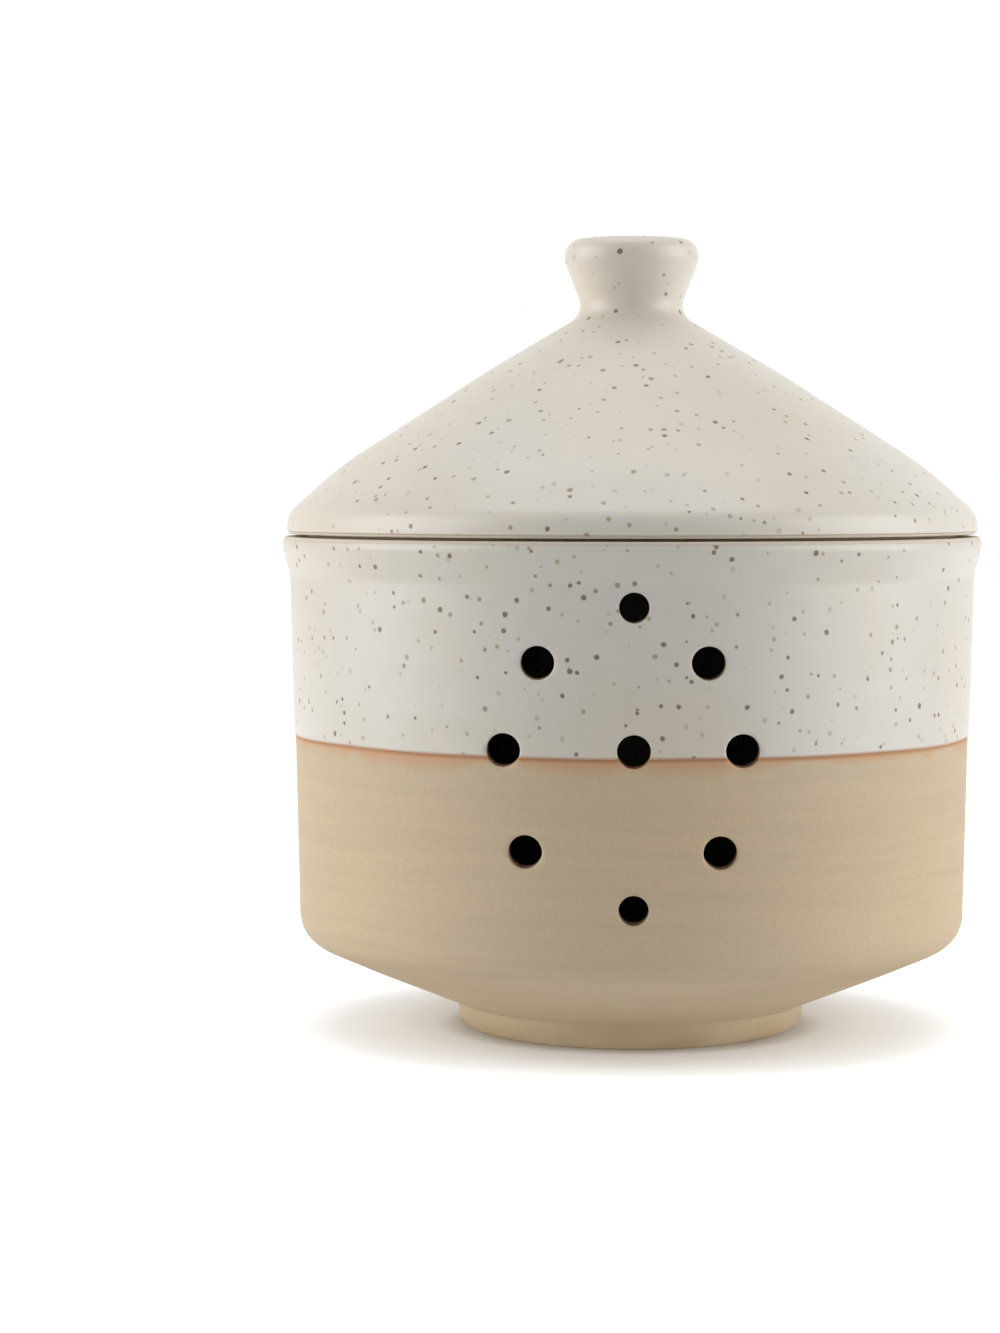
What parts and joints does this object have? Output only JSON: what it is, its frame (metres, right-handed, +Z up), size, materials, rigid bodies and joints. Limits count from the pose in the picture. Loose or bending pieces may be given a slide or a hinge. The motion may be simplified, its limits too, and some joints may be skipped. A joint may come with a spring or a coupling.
{
  "type": "garlic keeper",
  "caption": "Lidded stoneware pot for keeping garlic, on a foot ring, with round vents in its wall and a domed lid with a flared knob.",
  "frame": {"origin": "on the pot's axis, in the plane that the foot ring stands on", "axes": "+Z up along the pot's axis, through the lid's knob; the vents face -Y; +X is to the right seen from the vents' side"},
  "size_m": [0.1308, 0.1308, 0.1483],
  "materials": {
    "stoneware": "matt, unglazed and fine-grained",
    "glaze": "glossy, with small brown speckles"
  },
  "bodies": {
    "pot": {"pot_body": "stoneware", "pot_outer_glaze": "glaze", "pot_inner_glaze": "glaze"},
    "lid": {"lid_body": "stoneware", "lid_outer_glaze": "glaze", "lid_inner_glaze": "glaze"}
  },
  "joints": [
    {"name": "lid_lift", "type": "slide", "parent": "pot", "child": "lid", "axis": [0, 0, 1], "range_m": [0, 0.06]}
  ]
}
